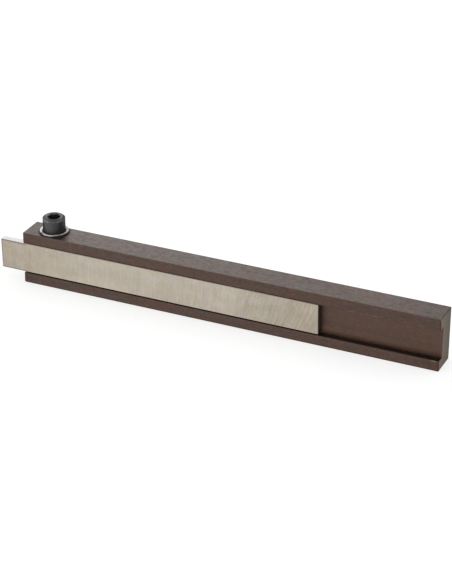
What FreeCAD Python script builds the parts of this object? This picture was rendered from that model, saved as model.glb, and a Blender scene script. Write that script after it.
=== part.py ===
import FreeCAD, Part
import math
import os
import Sketcher

# Clamp type parting tool holder, in millimetres and degrees.
# A flat shank bar carries a parting blade in a groove that is milled along its front face. At the
# cutting end a saw slit behind the blade splits the bar into two jaws, and a socket head cap screw
# draws the upper jaw down on the blade.
# Frame: the origin is the middle of the bar's bottom face. X runs along the bar, with the cutting end
# at -X, the blade groove faces -Y, and Z is up.

doc = FreeCAD.newDocument("parting_tool_holder")

# Each driving dimension stands in this sheet once: its alias, its value and what it measures.
dimensions = [
    ("bar_length", 178.6, "shank bar, 7 inches and the saw's allowance"),
    ("lower_lip_height", 4.3, "from the base up to the groove's floor"),
    ("upper_lip_height", 4.555, "from the groove's roof to the top face"),
    ("web_thickness", 8.65, "steel left behind the groove"),
    ("bar_edge_break", 0.15, "chamfer on the bar's outer edges"),
    ("blade_length", 139.7, "5 1/2 inches"),
    ("blade_height", 12.7, "1/2 inch"),
    ("blade_thickness", 3.175, "1/8 inch"),
    ("blade_edge_break", 0.2, "ground chamfer on all the blade's edges"),
    ("blade_end_lean", 1.0, "angle by which both cropped ends lean out of square"),
    ("blade_overhang", 10.35, "how far the cutting end stands out of the bar"),
    ("blade_proud", 0.15, "how far the blade's side stands out of the bar's front face"),
    ("gap_below_blade", 0.55, "sliding clearance under the blade"),
    ("gap_above_blade", 0.12, "sliding clearance over the blade"),
    ("gap_behind_blade", 0.03, "sliding clearance between blade and web"),
    ("slit_length", 52.0, "pinch slit, from the cutting end to the relief hole's centre"),
    ("slit_width", 1.6, "saw cut between the jaws"),
    ("relief_diameter", 5.0, "hole that ends the slit, so that it doesn't tear"),
    ("screw_setback", 11.1, "from the bar's cutting end to the screw's axis"),
    ("screw_diameter", 6.35, "1/4 inch"),
    ("screw_wall", 0.1, "least steel between the screw's hole and the groove"),
    ("screw_tip_recess", 0.8, "how far the screw's tip stays above the base"),
    ("screw_tip_bevel", 0.8, "chamfer on the screw's tip"),
    ("shank_clearance", 0.05, "radial, in the upper jaw"),
    ("thread_clearance", 0.025, "radial, in the tapped lower jaw"),
    ("tapped_mouth_bevel", 0.6, "countersink round the tapped hole, in the base"),
    ("head_ledge", 1.425, "how far the head stands out past the shank"),
    ("head_height", 6.05, "screw head"),
    ("head_bevel", 0.5, "chamfer round the head's top"),
    ("head_foot_bevel", 0.2, "chamfer round the head's bearing face"),
    ("socket_flats", 4.7625, "3/16 inch key, across flats"),
    ("socket_depth", 3.2, "hexagon socket, down to its drill point"),
    ("socket_turn", 24.0, "angle of the hexagon's first corner from X"),
    ("socket_mouth_bevel", 0.3, "how far the mouth's countersink reaches past the hexagon's corners"),
    ("drill_slope", 30.0, "angle between a drill point's cone and a flat floor"),
    ("washer_thickness", 0.8, "plain washer"),
    ("washer_margin", 1.45, "how far the washer stands out past the screw's head"),
    ("washer_bore_clearance", 0.2, "radial, round the screw's shank"),
    ("washer_edge_round", 0.25, "punched edge's radius"),
]

# Places and sizes that more than one feature reads, worked out from the sheet.
grooveHeight = "(Dimensions.blade_height + Dimensions.gap_below_blade + Dimensions.gap_above_blade)"
grooveDepth = "(Dimensions.blade_thickness + Dimensions.gap_behind_blade - Dimensions.blade_proud)"
grooveRoof = "(Dimensions.lower_lip_height + %s)" % grooveHeight
barHeight = "(%s + Dimensions.upper_lip_height)" % grooveRoof
barWidth = "(%s + Dimensions.web_thickness)" % grooveDepth
barFront = "(-%s / 2)" % barWidth
cuttingEnd = "(-Dimensions.bar_length / 2)"
slitLevel = "(Dimensions.lower_lip_height + %s / 2)" % grooveHeight
slitEnd = "(%s + Dimensions.slit_length)" % cuttingEnd
clearanceRadius = "(Dimensions.screw_diameter / 2 + Dimensions.shank_clearance)"
tappedRadius = "(Dimensions.screw_diameter / 2 + Dimensions.thread_clearance)"
screwX = "(%s + Dimensions.screw_setback)" % cuttingEnd
screwY = "(%s + %s + Dimensions.screw_wall + %s)" % (barFront, grooveDepth, clearanceRadius)
headRadius = "(Dimensions.screw_diameter / 2 + Dimensions.head_ledge)"
screwLength = "(%s + Dimensions.washer_thickness - Dimensions.screw_tip_recess)" % barHeight
socketCorner = "(Dimensions.socket_flats / sqrt(3))"

fullTurn = 360
socketSides = 6


def makeSheet():
    """The sheet of driving dimensions: name, value and meaning, one to a row."""
    sheet = doc.addObject("Spreadsheet::Sheet", "Dimensions")
    for row, (alias, value, meaning) in enumerate(dimensions, 1):
        sheet.set("A%d" % row, alias)
        sheet.set("B%d" % row, str(value))
        sheet.set("C%d" % row, meaning)
        sheet.setAlias("B%d" % row, alias)
    doc.recompute()
    return sheet


def valueOf(expression):
    """The number that an expression on the sheet gives now."""
    return float(dimensionSheet.evalExpression(expression))


def newBody(label, x="0", y="0", z="0"):
    """An empty body whose own origin stands at x, y, z in the holder's frame."""
    body = doc.addObject("PartDesign::Body", label)
    body.Label = label
    body.setExpression("Placement.Base.x", x)
    body.setExpression("Placement.Base.y", y)
    body.setExpression("Placement.Base.z", z)
    return body


def newSketch(body, name, role, level="0"):
    """A sketch on one of the body's origin planes, moved along the plane's normal by level."""
    sketch = body.newObject("Sketcher::SketchObject", name)
    plane = next(item for item in body.Origin.OriginFeatures if item.Role == role)
    sketch.AttachmentSupport = [(plane, "")]
    sketch.MapMode = "FlatFace"
    sketch.setExpression("AttachmentOffset.Base.z", level)
    return sketch


def placePoint(sketch, line, end, label, x=None, y=None):
    """Fixes one end of a sketch line: each of x and y is an expression, and 0 puts it on the axis."""
    for kind, expression, axis in (("DistanceX", x, -2), ("DistanceY", y, -1)):
        if expression is None:
            continue
        if expression == "0":
            sketch.addConstraint(Sketcher.Constraint("PointOnObject", line, end, axis))
            continue
        constraint = Sketcher.Constraint(kind, line, end, valueOf(expression))
        index = sketch.addConstraint(constraint)
        constraintName = label + kind[-1]
        sketch.renameConstraint(index, constraintName)
        sketch.setExpression("Constraints." + constraintName, expression)


def drawOutline(sketch, label, corners):
    """A closed outline of straight lines through corners, each a pair of expressions."""
    places = [FreeCAD.Vector(valueOf(x), valueOf(y), 0) for x, y in corners]
    nextPlaces = places[1:] + places[:1]
    first = sketch.GeometryCount
    for start, end in zip(places, nextPlaces):
        sketch.addGeometry(Part.LineSegment(start, end), False)
    for index, (x, y) in enumerate(corners):
        following = first + (index + 1) % len(corners)
        sketch.addConstraint(Sketcher.Constraint("Coincident", first + index, 2, following, 1))
        placePoint(sketch, first + index, 1, "%s%d" % (label, index), x, y)


def drawRectangle(sketch, left, right, bottom, top):
    """A level rectangle between four expressions."""
    x0, x1 = valueOf(left), valueOf(right)
    y0, y1 = valueOf(bottom), valueOf(top)
    places = [(x0, y0), (x1, y0), (x1, y1), (x0, y1)]
    nextPlaces = places[1:] + places[:1]
    for start, end in zip(places, nextPlaces):
        sketch.addGeometry(Part.LineSegment(FreeCAD.Vector(*start, 0), FreeCAD.Vector(*end, 0)), False)
    for line in range(4):
        sketch.addConstraint(Sketcher.Constraint("Coincident", line, 2, (line + 1) % 4, 1))
        sketch.addConstraint(Sketcher.Constraint("Vertical" if line % 2 else "Horizontal", line))
    placePoint(sketch, 0, 1, "lowerLeft", left, bottom)
    placePoint(sketch, 2, 1, "upperRight", right, top)


def drawCircle(sketch, label, radius, x="0", y="0"):
    """A circle by the expressions of its radius and centre."""
    centre = FreeCAD.Vector(valueOf(x), valueOf(y), 0)
    circle = sketch.addGeometry(Part.Circle(centre, FreeCAD.Vector(0, 0, 1), valueOf(radius)), False)
    placePoint(sketch, circle, 3, label + "Centre", x, y)
    index = sketch.addConstraint(Sketcher.Constraint("Radius", circle, valueOf(radius)))
    sketch.renameConstraint(index, label + "Radius")
    sketch.setExpression("Constraints.%sRadius" % label, radius)


def addPad(body, name, sketch, length, sides="One side"):
    """The sketch drawn out to a length, on one side of its plane or half on each."""
    pad = body.newObject("PartDesign::Pad", name)
    pad.Profile = sketch
    pad.SideType = sides
    pad.setExpression("Length", length)
    doc.recompute()
    return pad


def checkCut(feature):
    """Stops the build if a cut took nothing off its body."""
    doc.recompute()
    if feature.Shape.Volume >= feature.BaseFeature.Shape.Volume:
        raise RuntimeError(feature.Label + " cut nothing")


def addPocket(body, name, sketch, length, sides="One side"):
    """The sketch cut in to a length, below its plane or half on each side."""
    pocket = body.newObject("PartDesign::Pocket", name)
    pocket.Profile = sketch
    pocket.SideType = sides
    pocket.setExpression("Length", length)
    checkCut(pocket)
    return pocket


def addHole(body, name, sketch, radius, depth, upward=False, mouthBevel=None):
    """A drilled hole below its sketch, or above it, with a countersunk mouth where one is given."""
    hole = body.newObject("PartDesign::Hole", name)
    hole.Profile = sketch
    hole.Reversed = upward
    hole.DepthType = "Dimension"
    hole.DrillPoint = "Flat"
    hole.setExpression("Diameter", "2 * %s" % radius)
    hole.setExpression("Depth", depth)
    if mouthBevel:
        hole.HoleCutType = "Countersink"
        hole.setExpression("HoleCutDiameter", "2 * (%s + %s)" % (radius, mouthBevel))
    checkCut(hole)
    return hole


def turn(body, name, sketch, kind="PartDesign::Revolution"):
    """The sketch turned once round its own upright axis, to add steel or to cut it."""
    turned = body.newObject(kind, name)
    turned.Profile = sketch
    turned.ReferenceAxis = (sketch, ["V_Axis"])
    turned.Angle = fullTurn
    doc.recompute()
    return turned


def breakEdges(body, name, base, isBroken, size):
    """A chamfer on each edge of the base feature that the test picks."""
    chamfer = body.newObject("PartDesign::Chamfer", name)
    picked = ["Edge%d" % index for index, edge in enumerate(base.Shape.Edges, 1) if isBroken(edge)]
    chamfer.Base = (base, picked)
    chamfer.setExpression("Size", size)
    checkCut(chamfer)
    return chamfer


def makeBar():
    """The shank bar: bar stock, the blade groove, broken edges, then the pinch clamp's cuts."""
    body = newBody("holder_bar")

    section = newSketch(body, "bar_section", "YZ_Plane")
    drawRectangle(section, barFront, "-" + barFront, "0", barHeight)
    addPad(body, "bar_stock", section, "Dimensions.bar_length", "Symmetric")

    grooveSection = newSketch(body, "groove_section", "YZ_Plane")
    grooveBack = "(%s + %s)" % (barFront, grooveDepth)
    drawRectangle(grooveSection, barFront, grooveBack, "Dimensions.lower_lip_height", grooveRoof)
    groove = addPocket(body, "blade_groove", grooveSection, "Dimensions.bar_length", "Symmetric")

    # Every edge is broken but the two inner corners along the groove's back.
    backOfGroove = valueOf(grooveBack)

    def isOuterEdge(edge):
        isAlongBar = edge.BoundBox.XLength > edge.BoundBox.ZLength
        distanceFromBack = abs(edge.CenterOfMass.y - backOfGroove)
        return not isAlongBar or distanceFromBack > FreeCAD.Base.Precision.confusion()

    breakEdges(body, "broken_edges", groove, isOuterEdge, "Dimensions.bar_edge_break")

    # The saw slit splits the web halfway up the groove, and ends in a drilled relief hole.
    slitSide = newSketch(body, "slit_side", "XZ_Plane")
    halfSlit = "Dimensions.slit_width / 2"
    drawRectangle(slitSide, cuttingEnd, slitEnd, "%s - %s" % (slitLevel, halfSlit),
                  "%s + %s" % (slitLevel, halfSlit))
    addPocket(body, "pinch_slit", slitSide, barWidth, "Symmetric")
    reliefSide = newSketch(body, "relief_side", "XZ_Plane")
    drawCircle(reliefSide, "relief", "(Dimensions.relief_diameter / 2)", slitEnd, slitLevel)
    addPocket(body, "relief_hole", reliefSide, barWidth, "Symmetric")

    # The screw passes freely through the upper jaw and is tapped into the lower one, close behind
    # the groove. Both holes end in the slit.
    topSpot = newSketch(body, "upper_jaw_spot", "XY_Plane", barHeight)
    drawCircle(topSpot, "clearance", clearanceRadius, screwX, screwY)
    doc.recompute()
    addHole(body, "clearance_hole", topSpot, clearanceRadius, "%s - %s" % (barHeight, slitLevel))
    baseSpot = newSketch(body, "lower_jaw_spot", "XY_Plane")
    drawCircle(baseSpot, "tapped", tappedRadius, screwX, screwY)
    doc.recompute()
    addHole(body, "tapped_hole", baseSpot, tappedRadius, slitLevel, True,
            "Dimensions.tapped_mouth_bevel")
    return body


def makeBlade():
    """The parting blade: a ground strip, drawn from its cutting end's upper corner."""
    body = newBody(
        "parting_blade",
        "%s - Dimensions.blade_overhang" % cuttingEnd,
        "%s - Dimensions.blade_proud + Dimensions.blade_thickness / 2" % barFront,
        "Dimensions.lower_lip_height + Dimensions.gap_below_blade")
    side = newSketch(body, "blade_side", "XZ_Plane")
    lean = "(Dimensions.blade_height * tan(Dimensions.blade_end_lean))"
    drawOutline(side, "corner", [
        (lean, "0"),
        ("Dimensions.blade_length + %s" % lean, "0"),
        ("Dimensions.blade_length", "Dimensions.blade_height"),
        ("0", "Dimensions.blade_height"),
    ])
    strip = addPad(body, "ground_strip", side, "Dimensions.blade_thickness", "Symmetric")
    breakEdges(body, "ground_edges", strip, lambda edge: True, "Dimensions.blade_edge_break")
    return body


def makeScrew():
    """The socket head cap screw, drawn from the middle of its head's bearing face."""
    body = newBody("clamp_screw", screwX, screwY, "%s + Dimensions.washer_thickness" % barHeight)
    shankRadius = "(Dimensions.screw_diameter / 2)"
    headTop = "Dimensions.head_height"

    profile = newSketch(body, "turned_profile", "XZ_Plane")
    drawOutline(profile, "turned", [
        ("0", "-" + screwLength),
        ("%s - Dimensions.screw_tip_bevel" % shankRadius, "-" + screwLength),
        (shankRadius, "-%s + Dimensions.screw_tip_bevel" % screwLength),
        (shankRadius, "0"),
        ("%s - Dimensions.head_foot_bevel" % headRadius, "0"),
        (headRadius, "Dimensions.head_foot_bevel"),
        (headRadius, "%s - Dimensions.head_bevel" % headTop),
        ("%s - Dimensions.head_bevel" % headRadius, headTop),
        ("0", headTop),
    ])
    turn(body, "turned_blank", profile)

    # The socket is a broached hexagon over a drill point, with a countersunk mouth.
    hexagon = newSketch(body, "socket_hexagon", "XY_Plane", headTop)
    turns = [
        "(Dimensions.socket_turn + %g)" % (fullTurn * side / socketSides) for side in range(socketSides)
    ]
    drawOutline(hexagon, "hexagon", [
        ("%s * cos%s" % (socketCorner, angle), "%s * sin%s" % (socketCorner, angle)) for angle in turns
    ])
    addPocket(body, "socket", hexagon, "Dimensions.socket_depth")
    cones = newSketch(body, "socket_cones", "XZ_Plane")
    mouthRadius = "(%s + Dimensions.socket_mouth_bevel)" % socketCorner
    drillRadius = "(Dimensions.socket_flats / 2)"
    socketFloor = "(%s - Dimensions.socket_depth)" % headTop
    drawOutline(cones, "mouth", [
        ("0", "%s - %s * tan(Dimensions.drill_slope)" % (headTop, mouthRadius)),
        (mouthRadius, headTop),
        ("0", headTop),
    ])
    drawOutline(cones, "point", [
        ("0", "%s - %s * tan(Dimensions.drill_slope)" % (socketFloor, drillRadius)),
        (drillRadius, socketFloor),
        ("0", socketFloor),
    ])
    checkCut(turn(body, "mouth_and_drill_point", cones, "PartDesign::Groove"))
    return body


def makeWasher():
    """The punched washer, drawn from the middle of its lower face."""
    body = newBody("flat_washer", screwX, screwY, barHeight)
    ring = newSketch(body, "washer_ring", "XY_Plane")
    drawCircle(ring, "rim", "(%s + Dimensions.washer_margin)" % headRadius)
    drawCircle(ring, "bore", "(Dimensions.screw_diameter / 2 + Dimensions.washer_bore_clearance)")
    blank = addPad(body, "washer_blank", ring, "Dimensions.washer_thickness")
    fillet = body.newObject("PartDesign::Fillet", "punched_edge")
    # The rim is the washer's only top edge that is longer than the way round the screw's head.
    wayRoundHead = math.tau * valueOf(headRadius)
    halfThickness = valueOf("Dimensions.washer_thickness / 2")
    topRims = [
        "Edge%d" % index for index, edge in enumerate(blank.Shape.Edges, 1)
        if edge.CenterOfMass.z > halfThickness and edge.Length > wayRoundHead
    ]
    fillet.Base = (blank, topRims)
    fillet.setExpression("Radius", "Dimensions.washer_edge_round")
    checkCut(fillet)
    return body


def checkModel(bodies):
    """Stops the build if an object failed to recompute or a sub-part's solid isn't sound."""
    for item in doc.Objects:
        if {"Invalid", "Error"} & set(item.State):
            raise RuntimeError("%s failed: %s" % (item.Label, item.State))
    for body in bodies:
        shape = body.Shape
        if shape.isNull() or not shape.isValid() or len(shape.Solids) != 1:
            raise RuntimeError(body.Label + " isn't one sound solid")


dimensionSheet = makeSheet()
subParts = [makeBar(), makeBlade(), makeScrew(), makeWasher()]
doc.recompute()
checkModel(subParts)
os.makedirs("parts", exist_ok=True)
for part in subParts:
    part.Shape.exportStep("parts/%s.step" % part.Label)
    box = part.Shape.BoundBox
    print("%-14s volume %8.1f  x %7.2f %7.2f  y %6.2f %6.2f  z %6.2f %6.2f" % (
        part.Label, part.Shape.Volume, box.XMin, box.XMax, box.YMin, box.YMax, box.ZMin, box.ZMax))
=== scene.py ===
# A parting tool holder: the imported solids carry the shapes, and this script gives them their finishes,
# turns a threaded cap screw, and sets up the floor, the light and the camera.
import math
import bpy
import numpy as np
from mathutils import Matrix, Vector


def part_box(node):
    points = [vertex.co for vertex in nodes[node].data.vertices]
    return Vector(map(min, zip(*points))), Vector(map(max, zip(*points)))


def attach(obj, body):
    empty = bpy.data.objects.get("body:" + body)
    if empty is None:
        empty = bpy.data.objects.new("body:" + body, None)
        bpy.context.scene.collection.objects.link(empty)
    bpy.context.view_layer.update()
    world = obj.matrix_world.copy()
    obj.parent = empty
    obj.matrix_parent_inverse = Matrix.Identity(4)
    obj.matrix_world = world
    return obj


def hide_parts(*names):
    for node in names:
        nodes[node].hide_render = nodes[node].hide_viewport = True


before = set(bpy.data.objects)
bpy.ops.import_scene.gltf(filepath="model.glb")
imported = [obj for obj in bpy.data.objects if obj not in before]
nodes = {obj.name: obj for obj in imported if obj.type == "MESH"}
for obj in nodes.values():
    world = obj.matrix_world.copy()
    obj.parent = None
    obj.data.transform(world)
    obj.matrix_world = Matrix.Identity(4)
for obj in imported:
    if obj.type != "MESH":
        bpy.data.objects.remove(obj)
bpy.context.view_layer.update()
mm = 0.001  # one millimetre, in metres
print("loaded the packed holder:", ", ".join(sorted(nodes)))


def linear(red, green, blue):
    # A colour as a screen shows it, each part from 0 to 255, turned into scene light.
    parts = [part / 255 for part in (red, green, blue)]
    return tuple(p / 12.92 if p <= 0.04045 else ((p + 0.055) / 1.055) ** 2.4 for p in parts) + (1.0,)


def boxInMm(node):
    # A node's lowest and highest corners at rest, in millimetres.
    return [tuple(value / mm for value in corner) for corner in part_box(node)]


class Signal:
    # One output socket. Each operator adds the Math node that works it out.
    def __init__(self, recipe, socket):
        self.recipe = recipe
        self.socket = socket

    def maths(self, operation, *values):
        return self.recipe.add("ShaderNodeMath", {"operation": operation}, dict(enumerate(values)))

    def __add__(self, other):
        return self.maths("ADD", self, other)

    def __radd__(self, other):
        return self.maths("ADD", other, self)

    def __sub__(self, other):
        return self.maths("SUBTRACT", self, other)

    def __rsub__(self, other):
        return self.maths("SUBTRACT", other, self)

    def __mul__(self, other):
        return self.maths("MULTIPLY", self, other)

    def __rmul__(self, other):
        return self.maths("MULTIPLY", other, self)

    def __truediv__(self, other):
        return self.maths("DIVIDE", self, other)

    def __pow__(self, other):
        return self.maths("POWER", self, other)

    def __abs__(self):
        return self.maths("ABSOLUTE", self)

    def larger(self, other):
        return self.maths("MAXIMUM", self, other)

    def smaller(self, other):
        return self.maths("MINIMUM", self, other)

    def ramp(self, low, high):
        # 0 up to low, 1 from high on, and a smooth rise between.
        return self.recipe.add(
            "ShaderNodeMapRange", {"interpolation_type": "SMOOTHSTEP"},
            {"Value": self, "From Min": low, "From Max": high})

    def within(self, middle, reach, soft):
        # 1 up to reach from the middle, and a smooth fall to 0 over the soft distance past it.
        return 1 - abs(self - middle).ramp(reach, reach + soft)


class Recipe:
    # A node tree, with one method that adds any node and short names for those used most.
    def __init__(self, tree):
        self.tree = tree
        self.tree.nodes.clear()

    def add(self, kind, settings=None, inputs=None, output=0):
        node = self.tree.nodes.new(kind)
        for name, value in (settings or {}).items():
            setattr(node, name, value)
        for name, value in (inputs or {}).items():
            if isinstance(value, Signal):
                self.tree.links.new(value.socket, node.inputs[name])
            else:
                node.inputs[name].default_value = value
        return Signal(self, node.outputs[output]) if node.outputs else None

    def place(self, stretch=(1, 1, 1)):
        # Where a point is on its piece, in millimetres, with each axis multiplied by its stretch.
        spot = self.add("ShaderNodeTexCoord", output="Object")
        return self.add("ShaderNodeMapping", None, {
            "Vector": spot, "Scale": tuple(factor / mm for factor in stretch)})

    def facing(self):
        # How far a face looks along X, Y and Z, each from -1 to 1.
        return self.split(self.add("ShaderNodeTexCoord", output="Normal"))

    def split(self, vector):
        parts = self.add("ShaderNodeSeparateXYZ", None, {"Vector": vector})
        return [Signal(self, socket) for socket in parts.socket.node.outputs]

    def join(self, x, y, z):
        return self.add("ShaderNodeCombineXYZ", None, {"X": x, "Y": y, "Z": z})

    def noise(self, vector, scale=1.0, detail=2.0, roughness=0.5):
        return self.add("ShaderNodeTexNoise", None, {
            "Vector": vector, "Scale": scale, "Detail": detail, "Roughness": roughness})

    def blend(self, mask, low, high):
        # The colour low where the mask is 0 and high where it is 1.
        return self.add("ShaderNodeMix", {"data_type": "RGBA"}, {0: mask, 6: low, 7: high}, 2)

    def tint(self, colour, shade):
        # A colour made darker or lighter by a shade that is 1 where nothing changes.
        grey = self.add("ShaderNodeCombineColor", None, {"Red": shade, "Green": shade, "Blue": shade})
        return self.add("ShaderNodeMix", {"data_type": "RGBA", "blend_type": "MULTIPLY"}, {
            0: 1.0, 6: colour, 7: grey}, 2)

    def bump(self, height, depth):
        # Height is from 0 to 1, and depth is what it stands for, in millimetres.
        return self.add("ShaderNodeBump", None, {"Height": height, "Strength": 1.0, "Distance": depth * mm})


def onChamfer(across, deep, up):
    # 1 on a chamfer and 0 on a flat side.
    return 1 - abs(across).larger(abs(deep)).larger(abs(up)).ramp(0.8, 0.95)


def nearEdge(parts, low, high, width):
    # 1 along a block's edges and 0 from a width away. The distance from the nearest edge is the middle
    # one of a point's distances from the sides that look along X, Y and Z.
    inX, inY, inZ = (
        (end - start) / 2 - abs(part - (start + end) / 2) for part, start, end in zip(parts, low, high))
    fromEdge = inX.smaller(inY).larger(inX.larger(inY).smaller(inZ))
    return 1 - fromEdge.ramp(width * 0.4, width)


def fromAxis(x, y, axis):
    # How far a point is from an upright axis.
    return ((x - axis[0]) ** 2 + (y - axis[1]) ** 2) ** 0.5


def towards(x, y, axis, degrees):
    # How far a point lies past an upright axis, the way that a turn from X points.
    turn = math.radians(degrees)
    return (x - axis[0]) * math.cos(turn) + (y - axis[1]) * math.sin(turn)


def metalMaterial(name, finish):
    # A bare or oxidised metal. finish is given the recipe and returns the shader's sockets.
    material = bpy.data.materials.new(name)
    material.use_nodes = True
    recipe = Recipe(material.node_tree)
    surface = recipe.add("ShaderNodeBsdfPrincipled", None, {"Metallic": 1.0, **finish(recipe)})
    recipe.add("ShaderNodeOutputMaterial", None, {"Surface": surface})
    return material


def dress(piece, material):
    piece.data.materials.clear()
    piece.data.materials.append(material)


# The shank bar: satin brown oxide over a milled surface, under a thin film of oil. Sizes and places are
# in millimetres, and a shade is the part by which something darkens or lightens the oxide.
bar = {
    "oxide": linear(84, 63, 51),
    "redOxide": linear(91, 59, 45),
    "greyOxide": linear(77, 65, 59),
    "greenOxide": linear(72, 70, 60),
    "violetOxide": linear(82, 66, 70),
    "endOxide": linear(101, 85, 65),
    "rubbedEdge": linear(92, 84, 79),
    "bareSteel": linear(146, 128, 116),
    "edgeShade": 0.42,
    "edgeWidth": 0.5,
    "cuttingEndShade": 0.2,
    "cuttingEndReach": 9.0,
    "endFaceShade": 0.5,
    "lipShade": 0.28,
    "topLift": 0.12,
    "webLift": 0.12,
    "webFootLift": 0.7,
    # How strongly each size of mark shows.
    "streaks": 0.5,
    "mottles": 0.64,
    "grains": 0.84,
    "specks": 0.26,
    "pits": 1.3,
    "bladeEnd": 40.0,  # in x: the groove is empty past it
    "upperLip": 17.8,  # in z: the upper lip's lower edge
    "washerShadow": 0.52,
    "roughness": 0.5,
    "oilFilm": 0.95,
    "oilOnFront": 0.72,
    "oilRoughness": 0.4,
    # Where the oxide has rubbed off an edge: the middle and half size in x and z, and how bare it is.
    "rubs": [
        (60.4, 17.8, 8.8, 0.17, 0.5),
        (77.5, 17.75, 4.0, 0.15, 0.5),
        (87.3, 4.25, 0.6, 0.2, 0.9),
    ],
}


def oxideColour(recipe, x, onTop, onWeb, onEnd):
    # Clouds of five shades of oxide. The top has more green and violet in it, and the web is plainer.
    cloud = recipe.noise(recipe.place((0.09, 0.25, 0.3)), 1.0, 4.0, 0.6).ramp(0.3, 0.7)
    redness = recipe.noise(recipe.place((0.2, 0.5, 0.55)), 1.0, 3.0, 0.6).ramp(0.38, 0.68)
    greenness = recipe.noise(recipe.place((0.13, 0.3, 0.3)), 1.3, 2.0, 0.5).ramp(0.5, 0.7)
    violetness = recipe.noise(recipe.place((0.25, 0.5, 0.5)), 1.0, 2.0, 0.5).ramp(0.48, 0.66)
    colour = recipe.blend(cloud * (0.8 - onWeb * 0.4), bar["oxide"], bar["greyOxide"])
    colour = recipe.blend(redness * (0.5 - onTop * 0.2 - onWeb * 0.3), colour, bar["redOxide"])
    colour = recipe.blend(greenness * onTop * 0.8, colour, bar["greenOxide"])
    colour = recipe.blend(violetness * (0.25 + onTop * 0.45 - onWeb * 0.15), colour, bar["violetOxide"])
    return recipe.blend(onEnd * (0.2 + x.ramp(-10, 10) * 0.6), colour, bar["endOxide"])


def brownOxide(recipe):
    x, y, z = recipe.split(recipe.place())
    across, deep, up = recipe.facing()
    low, high = boxInMm("holder_bar")
    onTop = up.ramp(0.7, 0.95)
    onEnd = abs(across).ramp(0.7, 0.95)
    onFront = 1 - y.ramp(-5.6, -5.2)
    onWeb = (deep * -1).ramp(0.7, 0.95) * y.ramp(-4.5, -4.0)
    onFloor = onTop * (1 - z.ramp(5, 6)) * y.ramp(-5.8, -5.2)
    frontTop = z.ramp(high[2] - 1.2, high[2] - 0.8) * (1 - y.ramp(low[1] + 0.8, low[1] + 1.2))
    dullShadedEdges = nearEdge((x, y, z), low, high, bar["edgeWidth"]) * (1 - frontTop * (1 - onEnd))

    # Painted shadow darkens the top round the washer, and the oil's coat is thinner there.
    washerLow, washerHigh = boxInMm("flat_washer")
    washerAxis = [(start + end) / 2 for start, end in zip(washerLow, washerHigh)]
    fromWasher = fromAxis(x, y, washerAxis) - (washerHigh[0] - washerLow[0]) / 2
    paintedWasherShadow = onTop * (1 - fromWasher.ramp(0.2, 1.1)) * bar["washerShadow"]

    # Marks of every size. The cutter left the web smoother than the other faces.
    streak = recipe.noise(recipe.place((0.03, 1.5, 1.5)), 1.0, 3.0, 0.6)
    mottle = recipe.noise(recipe.place((0.5, 0.9, 0.9)), 1.0, 3.0, 0.65)
    grain = recipe.noise(recipe.place(), 1.4, 4.0, 0.65)
    speck = recipe.noise(recipe.place(), 1.6, 1.0, 0.5).ramp(0.6, 0.7)
    pitted = recipe.noise(recipe.place((0.45, 1.1, 1.1)), 1.0, 4.0, 0.75) - 0.5
    uneven = (
        (streak - 0.5) * bar["streaks"] + (mottle - 0.5) * bar["mottles"] + (grain - 0.5) * bar["grains"])
    marks = (speck * bar["specks"] + pitted * bar["pits"]) * (0.3 + onTop * 0.7 - onWeb * 0.2)
    shade = 0.99 + uneven * (1 - onWeb * 0.4) + marks

    # Painted shade darkens the outer edges, the back of the end faces is darker, and one stretch of the top
    # is lighter.
    shade = shade - dullShadedEdges * bar["edgeShade"] - onEnd * y.ramp(-6, 6) * bar["endFaceShade"]
    shade = shade + onTop * x.within(60, 6, 12) * bar["topLift"]
    # The cutting end is darker, and painted shade darkens the groove's floor where the blade doesn't cover
    # it.
    cuttingEnd = 1 - x.ramp(low[0], low[0] + bar["cuttingEndReach"])
    floorShade = x.ramp(34, 42) * 1.4 - 0.6
    shade = (shade - cuttingEnd * bar["cuttingEndShade"]) * (1 - paintedWasherShadow) * (1 - onFloor * floorShade)
    # The web is lighter, and painted light lifts it most at its foot. The lower lip is a little lighter
    # between its ends.
    webFoot = (1 - z.ramp(5, 9)) * (bar["webFootLift"] - x.ramp(66, 84) * 0.3)
    lowerLip = (1 - z.ramp(4, 5)) * (x.ramp(-60, 0) * 0.08 - x.ramp(70, 88) * 0.15)
    shade = shade * (1 + onWeb * (bar["webLift"] + webFoot) + lowerLip)
    # Painted shade: a dark line along the upper lip's lower edge, where it meets the blade.
    lipLine = z.within(bar["upperLip"], 0.2, 0.3) * (1 - x.ramp(bar["bladeEnd"] - 1, bar["bladeEnd"] + 1))
    shade = shade * (1 - lipLine * onFront * bar["lipShade"])

    colour = recipe.tint(oxideColour(recipe, x, onTop, onWeb, onEnd), shade)
    colour = recipe.blend(onChamfer(across, deep, up) * frontTop * 0.6, colour, bar["rubbedEdge"])
    patchy = recipe.noise(recipe.place((0.35, 1.0, 1.0)), 1.0, 3.0, 0.7).ramp(0.42, 0.6)
    for middleX, middleZ, reachX, reachZ, bareness in bar["rubs"]:
        rub = x.within(middleX, reachX, 1.5) * z.within(middleZ, reachZ, 0.15) * onFront
        colour = recipe.blend(rub * patchy * bareness, colour, bar["bareSteel"])

    # The film of oil thins out towards the far end, and lies thickest on the top.
    film = (1 - x.ramp(-90, 130) * 0.35) * (0.65 + mottle * 0.3 + speck * 0.4 + onTop * pitted * 2)
    film = film * (1 - (1 - onTop) * (1 - bar["oilOnFront"]))
    return {
        "Base Color": colour,
        "Roughness": bar["roughness"] + (grain - 0.5) * 0.2,
        "Coat Weight": bar["oilFilm"] * film * (1 - onEnd) * (1 - dullShadedEdges * 0.5) * (1 - paintedWasherShadow),
        "Coat Roughness": bar["oilRoughness"],
        "Normal": recipe.bump(streak * 0.5 + grain * 0.5, 0.006),
    }


dress(nodes["holder_bar"], metalMaterial("brownOxide", brownOxide))
print("finished the shank bar")

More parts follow.
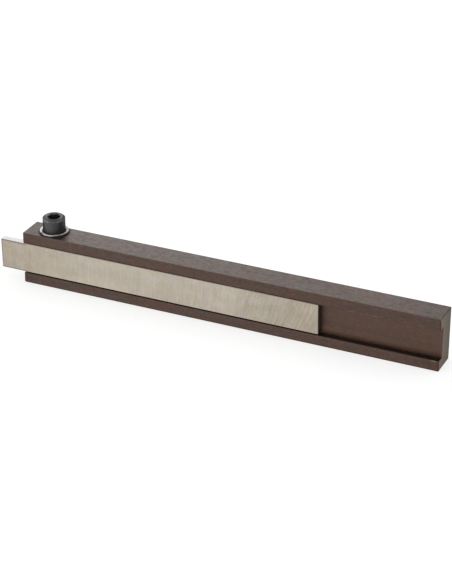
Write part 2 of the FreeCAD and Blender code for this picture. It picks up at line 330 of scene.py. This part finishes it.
# The blade: bare tool steel with the fine lines that a grinding wheel leaves across it.
blade = {
    "warmSteel": linear(190, 176, 153),
    "paleSteel": linear(192, 184, 172),
    "topSteel": linear(206, 205, 203),
    "shadedChamfer": linear(142, 137, 130),
    "croppedEnd": linear(96, 92, 86),
    "lipLine": linear(162, 151, 135),
    "edgeShade": 0.3,
    "edgeWidth": 0.9,
    # How strongly each kind of mark shows, and what the lines gain where they lean.
    "lines": 0.36,
    "leaningLines": 0.3,
    "fineLines": 0.36,
    "leaningFineLines": 0.16,
    "clouds": 0.26,
    "grains": 0.28,
    "roughness": 0.36,
    "barEnd": -88.0,  # in x: the blade stands out of the bar before it, and painted shade darkens its edges there
    # The wheel's lines are upright up to leanFrom in x, and lean over by slant, less arc, from leanTo on.
    "leanFrom": -30.0,
    "leanTo": 45.0,
    "slant": 0.58,
    "arc": 0.009,
}


def groundSteel(recipe):
    x, y, z = recipe.split(recipe.place())
    across, deep, up = recipe.facing()
    low, high = boxInMm("parting_blade")
    outside = 1 - x.ramp(blade["barEnd"] - 1, blade["barEnd"] + 1)
    dullShadedEdges = nearEdge((x, y, z), low, high, blade["edgeWidth"]) * outside
    chamfer = onChamfer(across, deep, up)
    middle = x.within(-28, 25, 60)

    lean = x.ramp(blade["leanFrom"], blade["leanTo"])
    along = x - z * (lean * blade["slant"]) + z * z * (lean * blade["arc"])
    lines = recipe.noise(recipe.join(along * 1.2, y, z * 0.06), 1.0, 4.0, 0.65)
    fine = recipe.noise(recipe.join(along * 3.2, y, z * 0.2), 1.0, 2.0, 0.6)
    cloud = recipe.noise(recipe.place((0.14, 0.2, 0.22)), 1.0, 3.0, 0.6)
    grain = recipe.noise(recipe.place(), 1.3, 3.0, 0.6)
    warmth = recipe.noise(recipe.place((0.22, 0.2, 0.25)), 1.0, 2.0, 0.5).ramp(0.35, 0.65)

    shade = 0.15 + lines * (blade["lines"] + lean * blade["leaningLines"])
    shade = shade + fine * (blade["fineLines"] + lean * blade["leaningFineLines"]) - lean * 0.22
    shade = shade + cloud * blade["clouds"] + grain * blade["grains"]
    # Painted reflection makes the middle lighter, and painted shade darkens the edges that stand out of the
    # bar.
    shade = shade + middle * 0.14 - dullShadedEdges * blade["edgeShade"]
    shade = shade - x.within(20, 8, 12) * 0.06 + (1 - z.ramp(6, 10)) * x.within(-58, 12, 20) * 0.08

    # Painted reflection also makes the middle paler, and warmth varies at random.
    colour = recipe.blend(0.2 + middle * 0.35 + warmth * 0.45, blade["warmSteel"], blade["paleSteel"])
    colour = recipe.tint(colour, shade)
    # Painted light: the top face is paler, as light from above falls on it.
    colour = recipe.blend(up.ramp(0.7, 0.95), colour, blade["topSteel"])
    # Painted shade on the chamfers that stand out of the bar.
    colour = recipe.blend(chamfer * outside, colour, blade["shadedChamfer"])
    # The chamfers along the lips inside the bar take a darker steel colour.
    colour = recipe.blend(chamfer * (1 - outside), colour, blade["lipLine"])
    colour = recipe.blend(across.ramp(0.3, 0.6), colour, blade["croppedEnd"])
    return {
        "Base Color": colour,
        "Roughness": blade["roughness"] + (lines - 0.5) * 0.15,
        "Normal": recipe.bump(lines * 0.6 + fine * 0.4, 0.004),
    }


dress(nodes["parting_blade"], metalMaterial("groundSteel", groundSteel))
print("finished the blade")

# The clamp screw: a socket head cap screw with a rolled thread, in millimetres and degrees.
screw = {
    "pitch": 1.27,
    "threadRadius": 3.16,
    "threadDepth": 0.687,
    "crestWidth": 0.125,  # the crest's and the root's flats, as parts of the pitch
    "rootWidth": 0.25,
    "tipBevel": 0.8,
    "plainNeck": 1.0,
    "neckEnd": 0.05,  # the neck stops this far under the head
    "headHeight": 6.05,
    "headBevel": 0.5,
    "crown": 0.15,  # how far the top falls off between its flat and the bevel
    "footBevel": 0.12,
    "cornerRadius": 0.14,
    "socketFlats": 4.7625,
    "socketDepth": 3.2,
    "socketTurn": 24.0,
    "mouthRadius": 3.05,
    "mouthSteps": (0.15, 0.25),  # how far inside the mouth its rim's last two corners are
    "rimMargin": 0.35,
    "coneSlope": 30.0,
    "columns": 144,
    "rowsPerTurn": 16,
    "rowsPerCorner": 5,
    "sharpAngle": 40.0,  # edges that turn by more than this aren't smoothed
    # How far the oxide is rubbed off at each corner of the head's outline, from the neck to the mouth.
    "cornerRubs": (0, 0, 0, 0, 0.45, 0.1, 0.05, 0, 0.14, 0.9, 0),
    "oxide": linear(66, 65, 65),
    "rubbed": linear(190, 188, 184),
    "grazingTint": 0.5,
    "lightTurn": 24.0,  # the side that is painted lightest, turned from -X
    "leftLightLift": 1.25,
    "footShade": 0.4,
    "leftShade": 0.8,
    "topShade": 0.3,
    "mouthLift": 0.3,
    "roughness": 0.44,
}


def softened(corners, radius, steps):
    # Each inner corner of the outline becomes a short parabola from one of its sides to the other.
    before = corners[:-2] - corners[1:-1]
    after = corners[2:] - corners[1:-1]
    sideBefore = np.linalg.norm(before, axis=1, keepdims=True)
    sideAfter = np.linalg.norm(after, axis=1, keepdims=True)
    reach = np.minimum(radius, 0.4 * np.minimum(sideBefore, sideAfter))
    start = corners[1:-1] + before / sideBefore * reach
    end = corners[1:-1] + after / sideAfter * reach
    t = np.linspace(0, 1, steps)[None, :, None]
    curve = (1 - t) ** 2 * start[:, None] + 2 * t * (1 - t) * corners[1:-1, None] + t ** 2 * end[:, None]
    return curve.reshape(-1, 2)


def headOutline(size, slope):
    # Radius and height of the head's corners, from the neck up the outside and down into the mouth.
    top = size["headHeight"]
    bevelFoot = top - size["headBevel"]
    flatEdge = size["headRadius"] - size["headBevel"]
    firstStep, lastStep = size["mouthSteps"]
    return softened(np.array([
        (size["threadRadius"], -size["neckEnd"]),
        (size["threadRadius"], 0),
        (size["headRadius"] - size["footBevel"], 0),
        (size["headRadius"], size["footBevel"]),
        (size["headRadius"], bevelFoot - size["rimMargin"] * 2),
        (size["headRadius"], bevelFoot - size["rimMargin"]),
        (size["headRadius"], bevelFoot - size["crown"] * 0.5),
        (flatEdge, top - size["crown"]),
        (flatEdge - size["rimMargin"], top),
        (size["mouthRadius"] + size["rimMargin"], top),
        (size["mouthRadius"], top),
        (size["mouthRadius"] - firstStep, top - firstStep * slope),
        (size["mouthRadius"] - lastStep, top - lastStep * slope),
    ]), size["cornerRadius"], size["rowsPerCorner"])


def screwSurface(size):
    # Radius and height over a grid: rows run from the tip up the outside and down into the socket,
    # and columns run round the axis. Height 0 is the head's bearing face.
    angle = np.linspace(0, 2 * np.pi, size["columns"], endpoint=False)
    flat = np.ones(size["columns"])
    # The thread's phase grows with height and falls with the angle, which makes it right-handed.
    # Its depth is 0 on the crest, full in the root, and fades out under the head.
    rows = int(size["length"] / size["pitch"] * size["rowsPerTurn"])
    height = np.linspace(-size["length"], -size["neckEnd"], rows)[:, None]
    phase = np.mod(height / size["pitch"] - angle[None, :] / (2 * np.pi), 1)
    flank = 1 - size["crestWidth"] - size["rootWidth"]
    cut = np.clip((np.abs(2 * phase - 1) - size["crestWidth"]) / flank, 0, 1)
    fade = np.clip((-height - size["plainNeck"]) / size["pitch"], 0, 1)
    tipCone = size["threadRadius"] - size["tipBevel"] + (height + size["length"])
    thread = np.minimum(size["threadRadius"] - size["threadDepth"] * cut * fade, tipCone)
    # The head is the same all round.
    slope = math.tan(math.radians(size["coneSlope"]))
    head = headOutline(size, slope)[:, :, None] * flat
    # A hexagon's radius is half its flats over the cosine of the angle from the nearest flat's middle.
    # The socket runs from the mouth's cone down its flats to a drilled floor and its cone.
    turn = angle - math.radians(size["socketTurn"])
    fromFlat = np.mod(turn, np.pi / 3) - np.pi / 6
    hexagon = size["socketFlats"] / 2 / np.cos(fromFlat)
    drill = size["socketFlats"] / 2
    floor = size["headHeight"] - size["socketDepth"]
    mouth = size["headHeight"] - (size["mouthRadius"] - hexagon) * slope
    middleOfCone = floor - drill * 0.5 * slope
    socketRadius = [hexagon, hexagon, hexagon, drill * flat, drill * 0.5 * flat]
    socketLevel = [mouth, (mouth + floor) / 2, floor * flat, floor * flat, middleOfCone * flat]
    radius = np.concatenate([thread, head[:, 0], socketRadius])
    level = np.concatenate([height * flat, head[:, 1], socketLevel])
    poles = [-size["length"], floor - drill * slope]
    rub = np.concatenate([
        np.zeros(len(thread)), np.repeat(size["cornerRubs"], size["rowsPerCorner"]),
        np.zeros(len(socketRadius))])
    return angle, radius, level, poles, rub


def turnedMesh(name, axis, sharpAngle, angle, radius, level, poles, rub):
    # Point (row, column) stands at axis + radius * (cos, sin), at its level; a point on the axis closes
    # each end.
    rows, columns = radius.shape
    points = np.stack([
        axis[0] + radius * np.cos(angle), axis[1] + radius * np.sin(angle), axis[2] + level], 2)
    ends = np.array([(axis[0], axis[1], axis[2] + pole) for pole in poles])
    verts = np.concatenate([points.reshape(-1, 3), ends]) * mm
    index = np.arange(rows * columns).reshape(rows, columns)
    nextColumn = np.roll(index, -1, axis=1)
    quads = np.stack([index[:-1], nextColumn[:-1], nextColumn[1:], index[1:]], 2).reshape(-1, 4)
    tip = np.full(columns, rows * columns)
    tipFan = np.stack([tip, nextColumn[0], index[0]], 1)
    endFan = np.stack([index[-1], nextColumn[-1], tip + 1], 1)
    mesh = bpy.data.meshes.new(name)
    mesh.from_pydata(verts.tolist(), [], quads.tolist() + tipFan.tolist() + endFan.tolist())
    mesh.polygons.foreach_set("use_smooth", np.ones(len(mesh.polygons), dtype=bool))
    mesh.set_sharp_from_angle(angle=math.radians(sharpAngle))
    wearAndLight = mesh.attributes.new("rub", "FLOAT", "POINT")
    wearAndLight.data.foreach_set("value", np.concatenate([np.repeat(rub, columns), [0, 0]]))
    mesh.update()
    return mesh


def blackOxide(recipe):
    x, y, z = recipe.split(recipe.place())
    up = recipe.facing()[2]
    grain = recipe.noise(recipe.place(), 2.2, 3.0, 0.6)
    smear = recipe.noise(recipe.place((0.8, 0.8, 0.25)), 1.0, 3.0, 0.6)
    patchy = recipe.noise(recipe.place(), 0.7, 3.0, 0.7).ramp(0.4, 0.65)
    streaky = recipe.noise(recipe.place(), 1.1, 2.0, 0.6).ramp(0.4, 0.6)
    rub = recipe.add("ShaderNodeAttribute", {"attribute_name": "rub"}, output="Fac")
    onTop = up.ramp(0.9, 0.98)
    foot = screwAxis[2]
    top = foot + screw["headHeight"]
    # From -1 on the side that is painted lightest to 1 on the other.
    outward = towards(x, y, screwAxis, screw["lightTurn"]) / screw["headRadius"]

    # Painted light makes the side lighter towards its left, painted shade darkens its foot and the lower
    # part of its left edge, and the right is a little lighter.
    wearAndLight = (1 - outward.ramp(-1, 0.3)) * (0.2 + smear * 1.2)
    sideLightAndShade = wearAndLight * screw["leftLightLift"] - (1 - z.ramp(foot, foot + 2.5)) * screw["footShade"]
    leftEdge = (1 - outward.ramp(-0.97, -0.74)) * (1 - z.ramp(foot + 3.6, foot + 4.8))
    shade = 0.7 + grain * 0.4 + smear * 0.4 + (1 - onTop) * (sideLightAndShade + outward.ramp(0.2, 1) * 0.25)
    # Painted highlights light the top at both sides, and painted light lifts the mouth and the socket.
    topHighlights = (1 - outward.ramp(-0.9, -0.5)) * 0.9 + outward.ramp(0.5, 0.7) * streaky * 2.2
    shade = shade - leftEdge * screw["leftShade"] + onTop * (topHighlights - screw["topShade"])
    inMouth = 1 - fromAxis(x, y, screwAxis).ramp(screw["mouthRadius"] - 0.2, screw["mouthRadius"] - 0.1)
    inSocket = 1 - z.ramp(top - 0.6, top - 0.3)
    shade = shade * (1 + inMouth * (screw["mouthLift"] + inSocket * 0.1))
    # The rims are rubbed bare, and painted highlights make them brightest at both sides, more so at the
    # left.
    atSides = abs(outward + 0.03).within(0.62, 0.14, 0.22)
    rimShine = 0.25 + atSides * (0.6 + (1 - outward.ramp(-0.5, 0.5)) * 0.3)
    rubsAndHighlights = rub * (0.6 + patchy * 0.4) * rimShine
    return {
        "Base Color": recipe.blend(rubsAndHighlights, recipe.tint(screw["oxide"], shade), screw["rubbed"]),
        "Specular Tint": (screw["grazingTint"], screw["grazingTint"], screw["grazingTint"], 1),
        "Roughness": screw["roughness"] + (grain - 0.5) * 0.15,
        "Normal": recipe.bump(grain, 0.006),
    }


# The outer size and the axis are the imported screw's own.
screwLow, screwHigh = boxInMm("clamp_screw")
screw["headRadius"] = (screwHigh[0] - screwLow[0]) / 2
screw["length"] = screwHigh[2] - screwLow[2] - screw["headHeight"]
screwAxis = (
    (screwLow[0] + screwHigh[0]) / 2, (screwLow[1] + screwHigh[1]) / 2, screwHigh[2] - screw["headHeight"])
capMesh = turnedMesh("capScrew", screwAxis, screw["sharpAngle"], *screwSurface(screw))
capScrew = bpy.data.objects.new("threaded_clamp_screw", capMesh)
bpy.context.scene.collection.objects.link(capScrew)
dress(capScrew, metalMaterial("blackOxide", blackOxide))
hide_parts("clamp_screw")
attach(capScrew, "screw")

# The washer: punched and tumbled steel with dull plating.
washer = {
    "litTop": linear(208, 206, 203),
    "shadedWall": linear(74, 66, 60),
    "headShadeWidth": 0.5,  # the width of the painted shade round the screw's head
    "shadeTurn": 24.4,  # the way that the painted shade reaches further, turned from -Y
    "grains": 0.8,
    "blotches": 0.5,
    "sideShade": 0.035,  # painted shade, for each millimetre along X
    "roughness": 0.7,
}


def punchedSteel(recipe):
    x, y, _ = recipe.split(recipe.place())
    across, _, up = recipe.facing()
    grain = recipe.noise(recipe.place(), 2.4, 4.0, 0.7)
    blotch = recipe.noise(recipe.place(), 0.9, 2.0, 0.6)
    # Painted light and shade: the top and the front and back of the rolled rim take the lit colour, and the
    # wall and the rim's sides the shaded one.
    rim = up.ramp(0.15, 0.5) * (1 - abs(across).ramp(0.16, 0.4))
    # Painted shade round the head's foot reaches furthest out at both sides of that turned way, and one
    # patch of painted shade dims the ring.
    fromMiddle = fromAxis(x, y, screwAxis)
    onward = towards(x, y, screwAxis, washer["shadeTurn"] - 90) / fromMiddle
    sideways = towards(x, y, screwAxis, washer["shadeTurn"]) / fromMiddle
    shadeEdge = washer["headShadeWidth"] + onward.larger(0) * (0.1 + abs(sideways) * 0.6)
    outsideHeadShade = ((fromMiddle - screw["headRadius"]) / shadeEdge).ramp(0.3, 1)
    ringShade = sideways.within(-0.82, 0.06, 0.1) * onward.ramp(0.3, 0.5)
    litPart = rim.larger(up.ramp(0.9, 0.98)) * outsideHeadShade * (1 - ringShade * 0.5)
    colour = recipe.blend(litPart, washer["shadedWall"], washer["litTop"])
    shade = 0.46 + grain * washer["grains"] + blotch * washer["blotches"]
    # Painted shade: darker towards +X.
    shade = shade - (x - screwAxis[0]) * washer["sideShade"]
    return {
        "Base Color": recipe.tint(colour, shade),
        "Roughness": washer["roughness"] + (grain - 0.5) * 0.2,
        "Normal": recipe.bump(grain, 0.01),
    }


dress(nodes["flat_washer"], metalMaterial("punchedSteel", punchedSteel))
print("turned the screw and finished it and its washer")

# The studio: a pale floor, even light from all round, and a softbox behind and to the left. Sizes are
# in metres and degrees, apart from the gap.
studio = {
    "floorRadius": 4.0,
    "floorSegments": 96,
    "floorGap": 0.02,  # between the paper and the bar's underside, in millimetres
    "floorAlbedo": 0.5,
    "floorGlow": 0.65,
    "skyStrength": 0.8,
    "aimHeight": 0.01,
    "softboxes": [
        # name, azimuth, elevation, distance, width, height, radiance
        ("keyBox", 228.0, 38.0, 1.6, 1.5, 1.1, 0.4),
    ],
}


def discMesh(name, radius, level, segments):
    # A flat disc at a level: its rim is radius * (cos, sin) as the angle runs round it.
    angle = np.linspace(0, 2 * np.pi, segments, endpoint=False)
    rim = np.stack([radius * np.cos(angle), radius * np.sin(angle), np.full(segments, level)], 1)
    mesh = bpy.data.meshes.new(name)
    mesh.from_pydata(rim.tolist(), [], [list(range(segments))])
    return mesh


def aimedFrom(azimuth, elevation, distance, target):
    # A place on a sphere round the target, with the ways that are right, up and back from there.
    # Azimuth 0 is in front, on the -Y side.
    turn, rise = math.radians(azimuth), math.radians(elevation)
    back = Vector((math.sin(turn) * math.cos(rise), -math.cos(turn) * math.cos(rise), math.sin(rise)))
    right = Vector((math.cos(turn), math.sin(turn), 0))
    return target + back * distance, right, back.cross(right), back


def stance(place, right, up, back):
    # The matrix of a lamp or camera that looks away from back.
    return Matrix((
        (right.x, up.x, back.x, place.x),
        (right.y, up.y, back.y, place.y),
        (right.z, up.z, back.z, place.z),
        (0, 0, 0, 1)))


def seenDirectly(recipe):
    # 1 for what the camera, a mirror or a glass looks at, and 0 for light that scatters.
    camera, glossy, through = (
        recipe.add("ShaderNodeLightPath", output=ray)
        for ray in ("Is Camera Ray", "Is Glossy Ray", "Is Transmission Ray"))
    return camera.larger(glossy).larger(through)


scene = bpy.context.scene
scene.view_settings.view_transform = "Standard"

floor = bpy.data.objects.new("floor", discMesh(
    "floor", studio["floorRadius"], -studio["floorGap"] * mm, studio["floorSegments"]))
scene.collection.objects.link(floor)
floorMaterial = bpy.data.materials.new("paper")
floorMaterial.use_nodes = True
paper = Recipe(floorMaterial.node_tree)
albedo = studio["floorAlbedo"]
matte = paper.add("ShaderNodeBsdfDiffuse", None, {"Color": (albedo, albedo, albedo, 1)})
glow = paper.add("ShaderNodeEmission", None, {"Strength": seenDirectly(paper) * studio["floorGlow"]})
upperSide = paper.add("ShaderNodeAddShader", None, {0: matte, 1: glow})
# From below the paper is clear, so that the bar's underside can be looked at.
fromBelow = paper.add("ShaderNodeNewGeometry", output="Backfacing")
clear = paper.add("ShaderNodeBsdfTransparent")
oneSided = paper.add("ShaderNodeMixShader", None, {0: fromBelow, 1: upperSide, 2: clear})
paper.add("ShaderNodeOutputMaterial", None, {"Surface": oneSided})
dress(floor, floorMaterial)

world = bpy.data.worlds.new("sky")
scene.world = world
world.use_nodes = True
sky = Recipe(world.node_tree)
skyLight = sky.add("ShaderNodeBackground", None, {
    "Color": (1, 1, 1, 1),
    "Strength": seenDirectly(sky) * (1 - studio["skyStrength"]) + studio["skyStrength"]})
sky.add("ShaderNodeOutputWorld", None, {"Surface": skyLight})

target = Vector((0, 0, studio["aimHeight"]))
for name, azimuth, elevation, distance, width, height, radiance in studio["softboxes"]:
    lamp = bpy.data.lights.new(name, "AREA")
    lamp.shape = "RECTANGLE"
    lamp.size = width
    lamp.size_y = height
    lamp.energy = radiance * math.pi * width * height  # a flat lamp's power for its radiance
    box = bpy.data.objects.new(name, lamp)
    scene.collection.objects.link(box)
    box.matrix_world = stance(*aimedFrom(azimuth, elevation, distance, target))
print("set up the studio")

# The camera stands where the photograph's perspective puts it. Lengths are in metres, the sensor's
# side is in millimetres, and the focal length is in pixels of an image of that height.
view = {
    "azimuth": 24.416,
    "elevation": 27.244,
    "roll": 0.230,
    "distance": 0.7908,
    "target": Vector((-0.001464, 0, 0.011504)),
    "focalPixels": 2009.19,
    "imageHeight": 584,
    "sensor": 36.0,
    "nearest": 0.01,
    "furthest": 20,
}
place, right, up, back = aimedFrom(view["azimuth"], view["elevation"], view["distance"], view["target"])
roll = math.radians(view["roll"])
camera = bpy.data.cameras.new("camera")
camera.sensor_width = view["sensor"]
camera.lens = view["focalPixels"] * view["sensor"] / view["imageHeight"]
camera.clip_start = view["nearest"]
camera.clip_end = view["furthest"]
cameraStand = bpy.data.objects.new("camera", camera)
scene.collection.objects.link(cameraStand)
cameraStand.matrix_world = stance(
    place, right * math.cos(roll) + up * math.sin(roll), up * math.cos(roll) - right * math.sin(roll), back)
scene.camera = cameraStand
print("placed the camera")
